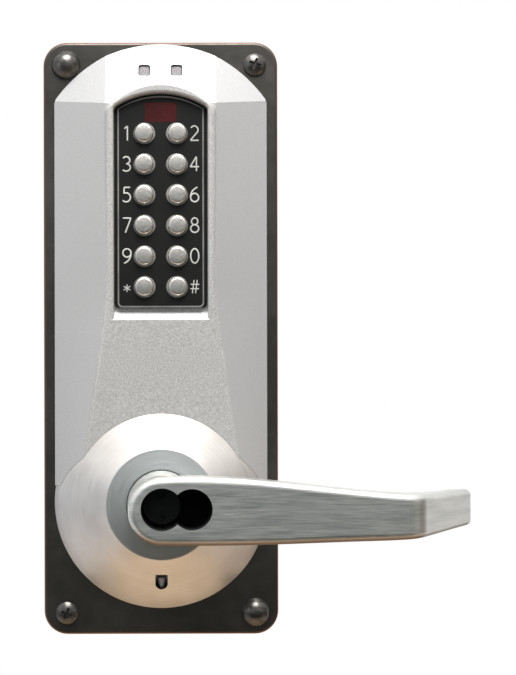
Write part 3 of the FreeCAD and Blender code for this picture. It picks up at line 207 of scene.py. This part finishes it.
def silver_paint():
    """Fine metallic paint; the raised tongue has a coarser, more speckled grain."""
    t = Tree("silver_paint")
    x, _, z = t.split(t.place)
    drop = t.math("MAXIMUM", t.minus(FLARE_TOP, z), 0.0)
    edge = t.plus(t.times(drop, TONGUE_FLARE), TONGUE_HALF)
    inside = t.between(t.minus(edge, t.math("ABSOLUTE", x)), TONGUE_EDGE_OUT, TONGUE_EDGE_IN)
    below = t.between(z, TONGUE_TOP_START, TONGUE_TOP_END, to_low=1.0, to_high=0.0)
    tongue = t.times(inside, below)
    fine = t.noise(t.place, scale=2600.0, rough=0.6)
    coarse = t.noise(t.place, scale=1500.0, detail=3.0, rough=0.6)
    cloud = t.noise(t.place, scale=45.0)
    speck = t.swing(coarse, t.plus(t.times(tongue, 0.9), 0.6))
    tone = t.plus(0.5, t.times(speck, 1.5), t.swing(cloud, 0.12), t.swing(fine, 0.25))
    colour = t.mix(tone, rgb(166, 164, 162), rgb(208, 206, 203))
    smooth = t.minus(1.0, tongue)
    colour = t.mix(t.times(smooth, 0.5), colour, rgb(168, 168, 169))
    grain = t.plus(speck, t.times(fine, 0.25))
    return t.finish(colour, metallic=0.3, roughness=t.uneven(coarse, 0.36, 0.5),
                    normal=t.bump(grain, strength=0.35, distance=0.12 * MM))


def black_paint():
    """Semi-gloss black powder coat, with a painted brownish reflection where its edge rounds
    over.
    """
    t = Tree("black_paint")
    facing = t.math("ABSOLUTE", t.true_normal()[1])
    patch = t.noise(t.place, scale=160.0, detail=4.0, rough=0.6)
    peel = t.noise(t.place, scale=700.0)
    cloud = t.noise(t.place, scale=30.0, detail=3.0)
    # Painted reflection: a brownish glint along the rounded edge of the plate, weaker on faces
    # turned fully sideways.
    edge_reflection = t.between(t.plus(facing, t.swing(patch, 0.2)), 0.6, 0.97, to_low=1.0, to_high=0.0)
    edge_reflection = t.times(edge_reflection, t.between(facing, 0.05, 0.4, to_low=0.25, to_high=1.0))
    base = t.mottle(cloud, rgb(68, 66, 62), rgb(82, 79, 75))
    colour = t.mix(t.times(edge_reflection, 0.9), base, rgb(132, 84, 56))
    return t.finish(colour, metallic=0.85, roughness=t.uneven(patch, 0.34, 0.44),
                    normal=t.bump(peel, strength=0.2, distance=0.1 * MM))


def black_bolt():
    """Blackened steel, a little worn in places."""
    t = Tree("black_bolt")
    wear = t.noise(t.place, scale=420.0, detail=3.0)
    colour = t.mix(t.between(wear, 0.4, 0.75), rgb(80, 78, 76), rgb(104, 101, 97))
    return t.finish(colour, metallic=0.8, roughness=t.uneven(wear, 0.24, 0.32),
                    normal=t.bump(wear, strength=0.04, distance=0.05 * MM))


def turned_rose():
    """Satin metal with faint lines round the lever's axis; the flat nose is painted darker and
    cooler as shade.
    """
    t = Tree("satin_rose")
    x, y, z = t.split(t.place)
    radius = t.reach(x, z)
    around = t.join(radius, y, t.times(t.math("ARCTAN2", z, x), 0.6 * MM))
    ring = t.noise(around, scale=2600.0, detail=3.0, rough=0.6)
    blast = t.noise(t.place, scale=1900.0)
    cloud = t.noise(t.place, scale=60.0)
    tone = t.plus(t.times(ring, 0.45), t.times(cloud, 0.55))
    colour = t.mix(t.uneven(tone, 0.0, 1.0), rgb(206, 201, 195), rgb(226, 222, 217))
    # Painted shade: the flat front of the nose is mixed towards a darker, cooler grey.
    nose_shade = t.between(radius, NOSE_FLAT, NOSE_EDGE, to_low=0.9, to_high=0.0)
    colour = t.mix(nose_shade, colour, rgb(183, 187, 186))
    height = t.plus(t.times(ring, 0.6), t.times(blast, 0.5))
    return t.finish(colour, metallic=1.0, roughness=t.uneven(ring, 0.4, 0.5),
                    normal=t.bump(height, strength=0.16, distance=0.06 * MM))


def brushed_lever():
    """Satin chrome brushed along the lever, with a painted brownish reflection on faces turned
    down and painted shade, near black, inside the core pocket.
    """
    t = Tree("satin_lever")
    streak = t.noise(t.scaled(t.place, (0.045, 0.06, 1.0)), scale=2400.0, detail=4.0, rough=0.65)
    soft = t.noise(t.scaled(t.place, (0.15, 0.2, 1.0)), scale=300.0)
    tone = t.plus(t.times(streak, 0.5), t.times(soft, 0.5))
    colour = t.mix(t.between(tone, 0.25, 0.75), rgb(190, 192, 188), rgb(232, 231, 226))
    # Painted reflection: faces turned down are mixed to a dull brownish grey.
    underside_reflection = t.between(t.true_normal()[2], -0.75, -0.2, to_low=1.0, to_high=0.0)
    colour = t.mix(underside_reflection, colour, rgb(122, 110, 101))
    x, y, z = t.split(t.place)

    def bore(centre, radius):
        """1 inside a round bore parallel to Y, 0 outside."""
        return t.math("LESS_THAN", t.reach(t.minus(x, centre), z), radius)

    # Painted shade: deeper than the mouth, the inside of the core pocket is coloured near black
    # and matte.
    pocket_shade = t.math("MAXIMUM", bore(0.0, CORE_RADIUS), bore(LOBE_X, LOBE_RADIUS))
    mouth = t.between(y, LEVER_FRONT + MOUTH_START, LEVER_FRONT + MOUTH_END)
    pocket_shade = t.times(pocket_shade, mouth)
    colour = t.mix(pocket_shade, colour, (0.045, 0.045, 0.045, 1.0))
    rough = t.mix(pocket_shade, t.uneven(streak, 0.34, 0.44), (0.9, 0.9, 0.9, 1.0))
    return t.finish(colour, metallic=1.0, roughness=rough,
                    normal=t.bump(streak, strength=0.12, distance=0.05 * MM))


def key_metal():
    """Satin metal of the key caps."""
    t = Tree("key_metal")
    mark = t.noise(t.place, scale=1500.0, detail=3.0, rough=0.6)
    colour = t.mottle(mark, rgb(200, 195, 188), rgb(216, 211, 204))
    return t.finish(colour, metallic=1.0, roughness=t.uneven(mark, 0.32, 0.4),
                    normal=t.bump(mark, strength=0.05, distance=0.04 * MM))


def lens_plastic():
    """Frosted light guide with painted shade along its edge all round."""
    t = Tree("lens_plastic")
    low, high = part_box("led_lens_right")
    middle, half = (low + high) / 2, (high.x - low.x) / 2
    x, _, z = t.split(t.place)
    across = t.math("ABSOLUTE", t.minus(t.math("ABSOLUTE", x), middle.x))
    along = t.math("ABSOLUTE", t.minus(z, middle.z))
    across, along = t.math("DIVIDE", across, half), t.math("DIVIDE", along, half)
    squareness = 4.0
    outward = t.plus(t.math("POWER", across, squareness), t.math("POWER", along, squareness))
    grain = t.noise(t.place, scale=1700.0, detail=3.0)
    fill = t.mottle(grain, rgb(122, 119, 121), rgb(146, 142, 144))
    # Painted shade: a dark band along the lens's edge all round, where the recess rim shades it.
    colour = t.mix(t.between(outward, 0.25, 0.8), fill, rgb(50, 48, 48))
    return t.finish(colour, metallic=0.0, roughness=0.5, specular=0.2,
                    normal=t.bump(grain, strength=0.2, distance=0.05 * MM))


def plastic(name, low, high, roughness, grain, depth=0.1, specular=None):
    """Moulded plastic or rubber with a fine grain."""
    t = Tree(name)
    fine = t.noise(t.place, grain, detail=3.0)
    cloud = t.noise(t.place, scale=90.0)
    return t.finish(t.mottle(cloud, low, high), metallic=0.0, specular=specular,
                    roughness=t.uneven(fine, roughness - 0.05, roughness + 0.06),
                    normal=t.bump(fine, depth, distance=0.08 * MM))


def plain_metal(name, low, high, roughness, grain=1400.0):
    """Bare metal with a fine grain."""
    t = Tree(name)
    fine = t.noise(t.place, grain, detail=3.0, rough=0.6)
    return t.finish(t.mottle(fine, low, high), metallic=1.0,
                    roughness=t.uneven(fine, roughness - 0.05, roughness + 0.06),
                    normal=t.bump(fine, strength=0.12, distance=0.05 * MM))


rubber = plastic("gasket_rubber", rgb(26, 26, 26), rgb(38, 37, 36), 0.7, 1800.0, 0.3)
black_plastic = plastic("black_plastic", rgb(10, 10, 8), rgb(15, 15, 12), 0.5, 2200.0, 0.2,
                        specular=0.25)
core_dark = plastic("core_dark", rgb(50, 50, 50), rgb(60, 60, 60), 0.6, 1400.0)
nylon = plastic("white_nylon", rgb(214, 211, 200), rgb(226, 223, 214), 0.45, 1500.0)
red = plastic("red_window", rgb(58, 4, 6), rgb(68, 8, 10), 0.4, 1300.0, 0.03, specular=0.25)
mat_rubber = plastic("mat_rubber", rgb(120, 120, 122), rgb(140, 140, 142), 0.6, 1500.0)
board = plastic("board_green", rgb(20, 78, 44), rgb(30, 96, 56), 0.35, 1500.0)
trim_line = plastic("trim_line", rgb(104, 104, 102), rgb(126, 126, 123), 0.4, 1900.0)
ink = plastic("legend_ink", rgb(176, 175, 170), rgb(196, 195, 190), 0.5, 1500.0)
zinc = plain_metal("zinc_cast", rgb(150, 150, 148), rgb(178, 177, 174), 0.5, 900.0)
steel = plain_metal("zinc_screw", rgb(176, 176, 170), rgb(204, 203, 196), 0.3)
spring = plain_metal("spring_steel", rgb(104, 114, 128), rgb(134, 144, 156), 0.4)
brass = plain_metal("brass_part", rgb(186, 152, 92), rgb(206, 172, 112), 0.32)

keys = [name for name in NODES if name.startswith("key_") and name != "key_return_mat"]
dress(silver_paint(), "housing")
dress(black_paint(), "back_plate")
dress(black_bolt(), "dome_bolts", "trim_screws")
dress(turned_rose(), "rose")
dress(brushed_lever(), "lever_handle")
dress(key_metal(), *keys)
dress(lens_plastic(), "led_lens_left", "led_lens_right")
dress(rubber, "door_gasket", "keypad_seal")
dress(black_plastic, "faceplate", "tact_switches", "infrared_module", "board_chips", "beeper")
dress(core_dark, "core_driver")
dress(nylon, "rose_bushing", "harness_connector")
dress(red, "signal_window")
dress(mat_rubber, "key_return_mat", "led_emitters")
dress(board, "circuit_board")
dress(trim_line, "faceplate_trim")
dress(zinc, "spring_cage", "cage_cover", "clutch_motor", "chassis_hub", "lever_cam")
dress(steel, "board_screws", "housing_screws", "cage_screws", "cover_screws", "hub_screws",
      "lead_screw", "spindle", "lever_drive_tube")
dress(spring, "rose_catch", "catch_bracket", "catch_spring", "lever_return_spring",
      "motor_bracket", "clutch_fork", "spindle_clip", "core_driver_clip")
dress(brass, "clutch_sleeve", "spindle_bushing")


# Printed legends beside the keys, drawn as strokes in a box one unit high


def bow(cx, cz, rx, rz, start, end, steps=20):
    """Points along part of an ellipse, between two angles in degrees."""
    angles = [math.radians(start + (end - start) * k / steps) for k in range(steps + 1)]
    return [(cx + rx * math.cos(a), cz + rz * math.sin(a)) for a in angles]


def hook(a, b, c, steps=12):
    """Points along a curve from a to c that bends towards b."""
    shares = [k / steps for k in range(steps + 1)]
    return [tuple((1 - t) ** 2 * p + 2 * t * (1 - t) * q + t * t * r for p, q, r in zip(a, b, c))
            for t in shares]


def lines(*points):
    """One straight stroke between each pair of points, so that sharp corners keep their width."""
    return [list(pair) for pair in zip(points, points[1:])]


def spoke(radius, degrees):
    """One straight stroke through the middle of the box."""
    x, z = radius * math.cos(math.radians(degrees)), radius * math.sin(math.radians(degrees))
    return [(x, z), (-x, -z)]


SIX = [bow(0.0, -0.21, 0.28, 0.29, 180, 540), hook((-0.28, -0.21), (-0.27, 0.33), (0.2, 0.5))]
STROKES = {
    "key_1": lines((-0.15, 0.32), (0.05, 0.5), (0.05, -0.5)),
    "key_2": [bow(-0.01, 0.22, 0.25, 0.28, 150, -28) + [(-0.27, -0.48)],
              [(-0.27, -0.5), (0.28, -0.5)]],
    "key_3": [bow(-0.04, 0.255, 0.25, 0.245, 145, -90),
              bow(-0.04, -0.245, 0.29, 0.255, 90, -145)],
    "key_4": lines((0.13, -0.5), (0.13, 0.5), (-0.3, -0.2), (0.31, -0.2)),
    "key_5": [*lines((0.22, 0.5), (-0.18, 0.5), (-0.2, 0.08)),
              bow(-0.05, -0.19, 0.3, 0.31, 115, -140)],
    "key_6": SIX,
    "key_7": lines((-0.28, 0.5), (0.28, 0.5), (-0.1, -0.5)),
    "key_8": [bow(0.0, 0.265, 0.22, 0.235, 0, 360), bow(0.0, -0.235, 0.28, 0.265, 0, 360)],
    "key_9": [[(-x, -z) for x, z in stroke] for stroke in SIX],
    "key_0": [bow(0.0, 0.0, 0.28, 0.5, 0, 360, 32)],
    "key_star": [spoke(0.26, degrees) for degrees in (30, 90, 150)],
    "key_hash": [[(-0.05, 0.46), (-0.17, -0.46)], [(0.17, 0.46), (0.05, -0.46)],
                 [(-0.28, 0.15), (0.31, 0.15)], [(-0.31, -0.15), (0.28, -0.15)]]}
LEGEND_X = 14.3 * MM
LEGEND_HEIGHT = 6.1 * MM
STROKE_HALF = 0.052
THIN_LEGENDS = ("key_star", "key_hash")
THIN_SHARE = 0.7
INK_HEIGHT = 0.02 * MM
STAR_DROP = 0.6 * MM


def legend(node, strokes):
    """Ink on the faceplate beside one key, a little proud of the surface."""
    low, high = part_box(node)
    middle = (low + high) / 2
    curve = bpy.data.curves.new("strokes", "CURVE")
    curve.dimensions = "3D"
    curve.bevel_depth = STROKE_HALF * (THIN_SHARE if node in THIN_LEGENDS else 1.0)
    curve.bevel_resolution = 2
    curve.use_fill_caps = True
    for stroke in strokes:
        spline = curve.splines.new("POLY")
        spline.points.add(len(stroke) - 1)
        for point, (x, z) in zip(spline.points, stroke):
            point.co = (x, 0.0, z, 1.0)
    source = bpy.data.objects.new("strokes", curve)
    bpy.context.scene.collection.objects.link(source)
    bpy.context.view_layer.update()
    shown = source.evaluated_get(bpy.context.evaluated_depsgraph_get())
    mesh = bpy.data.meshes.new_from_object(shown)
    bpy.data.objects.remove(source)
    centre_x = math.copysign(LEGEND_X, middle.x)
    centre_z = middle.z - (STAR_DROP if node == "key_star" else 0.0)
    for v in mesh.vertices:
        x, y, z = v.co
        depth = y / STROKE_HALF * INK_HEIGHT
        v.co = (centre_x + x * LEGEND_HEIGHT, PANEL_FRONT + depth, centre_z + z * LEGEND_HEIGHT)
    mesh.materials.clear()
    mesh.materials.append(ink)
    piece = bpy.data.objects.new("legend_" + node.removeprefix("key_"), mesh)
    bpy.context.scene.collection.objects.link(piece)
    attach(piece, "trim")


for key_name, key_strokes in STROKES.items():
    legend(key_name, key_strokes)


# Stage: floor, world and lights

FLOOR_RADIUS, FLOOR_Z, FLOOR_SIDES = 0.33, -0.38, 72

X, Y, Z = 0, 1, 2
WHITE_ABOVE = (1.3, 1.3, 1.3, 1)
FRONT_LOW = (0.05, 0.05, 0.045, 1)
FRONT_LEFT, FRONT_RIGHT = (0.25, 0.30, 0.31, 1), (0.20, 0.23, 0.215, 1)
FRONT_HIGH = (0.60, 0.61, 0.64, 1)
SIDE_LEFT, SIDE_RIGHT = (0.40, 0.44, 0.51, 1), (0.11, 0.09, 0.08, 1)
LOW_LEFT, LOW_RIGHT = (1.10, 1.04, 1.00, 1), (1.0, 0.81, 0.66, 1)
BEHIND_LOW, BEHIND = (0.35, 0.25, 0.17, 1), (1.0, 1.0, 1.0, 1)

LIGHT_TARGET = (0.0, 0.0, 0.07)
LIGHT_SIZE = 0.6


def floor():
    mesh = bpy.data.meshes.new("floor")
    turns = [math.radians(k * 360 / FLOOR_SIDES) for k in range(FLOOR_SIDES)]
    ring = [(FLOOR_RADIUS * math.cos(a), FLOOR_RADIUS * math.sin(a), FLOOR_Z) for a in turns]
    mesh.from_pydata(ring, [], [list(range(FLOOR_SIDES))])
    piece = bpy.data.objects.new("floor", mesh)
    bpy.context.scene.collection.objects.link(piece)
    t = Tree("floor")
    mesh.materials.append(t.finish(rgb(190, 165, 137), metallic=0.0, roughness=0.7))


def studio_world():
    """Soft surroundings: white above and behind, dark in front, warm low at the right."""
    world = bpy.data.worlds.new("studio")
    bpy.context.scene.world = world
    world.use_nodes = True
    nodes, links = world.node_tree.nodes, world.node_tree.links
    background = nodes["Background"]
    coordinates = nodes.new("ShaderNodeTexCoord")
    split = nodes.new("ShaderNodeSeparateXYZ")
    links.new(coordinates.outputs["Generated"], split.inputs[0])

    def turning(axis, low, high, before, after):
        """The colour before, up to low along one axis of the direction, and after from high."""
        share = nodes.new("ShaderNodeMapRange")
        share.interpolation_type = "SMOOTHSTEP"
        links.new(split.outputs[axis], share.inputs["Value"])
        share.inputs["From Min"].default_value = low
        share.inputs["From Max"].default_value = high
        blend = nodes.new("ShaderNodeMix")
        blend.data_type = "RGBA"
        links.new(share.outputs["Result"], blend.inputs["Factor"])
        feed(links, blend.inputs[6], before)
        feed(links, blend.inputs[7], after)
        return blend.outputs[2]

    front = turning(X, -0.5, 0.5, FRONT_LEFT, FRONT_RIGHT)
    front = turning(Z, -0.28, 0.02, FRONT_LOW, front)
    front = turning(Z, 0.0, 0.42, front, FRONT_HIGH)
    front = turning(Z, 0.3, 0.7, front, WHITE_ABOVE)
    low_side = turning(X, -0.3, 0.3, LOW_LEFT, LOW_RIGHT)
    side = turning(X, -0.3, 0.3, SIDE_LEFT, SIDE_RIGHT)
    side = turning(Z, -0.8, -0.1, low_side, side)
    side = turning(Z, 0.1, 0.7, side, WHITE_ABOVE)
    behind = turning(Z, -0.75, -0.35, BEHIND_LOW, BEHIND)
    colour = turning(Y, -0.8, -0.3, front, side)
    colour = turning(Y, 0.0, 0.42, colour, behind)
    links.new(colour, background.inputs["Color"])
    background.inputs["Strength"].default_value = 1.0


def area_light(name, place, watts, colour):
    data = bpy.data.lights.new(name, "AREA")
    data.shape = "DISK"
    data.size = LIGHT_SIZE
    data.energy = watts
    data.color = colour
    lamp = bpy.data.objects.new(name, data)
    lamp.location = place
    aim = Vector(LIGHT_TARGET) - Vector(place)
    lamp.rotation_euler = aim.to_track_quat("-Z", "Y").to_euler()
    bpy.context.scene.collection.objects.link(lamp)


floor()
studio_world()
area_light("key_light", place=(0.03, -0.42, 0.88), watts=13.0, colour=(1.0, 1.0, 1.0))
area_light("left_light", place=(-0.9, -0.6, 0.25), watts=0.6, colour=(0.93, 0.97, 1.0))
area_light("right_light", place=(0.95, -0.7, 0.2), watts=0.3, colour=(1.0, 0.94, 0.88))


# Camera: square to the plate and level with the rose's upper half; the lock is off its centre

VIEW_DISTANCE = 610 * MM
VIEW_SIDE = -2.8 * MM
VIEW_HEIGHT = 36.9 * MM
ROLL = math.radians(0.12)
LENS = 76.2
SENSOR_WIDTH = 36.0
SHIFT_X, SHIFT_Y = 0.1533, 0.1148

camera_data = bpy.data.cameras.new("camera")
camera_data.lens = LENS
camera_data.sensor_width = SENSOR_WIDTH
camera_data.shift_x = SHIFT_X
camera_data.shift_y = SHIFT_Y
camera = bpy.data.objects.new("camera", camera_data)
camera.location = (VIEW_SIDE, PLATE_FRONT - VIEW_DISTANCE, VIEW_HEIGHT)
camera.rotation_euler = (math.radians(90.0), ROLL, 0.0)
bpy.context.scene.collection.objects.link(camera)
bpy.context.scene.camera = camera
bpy.context.scene.view_settings.view_transform = "Standard"
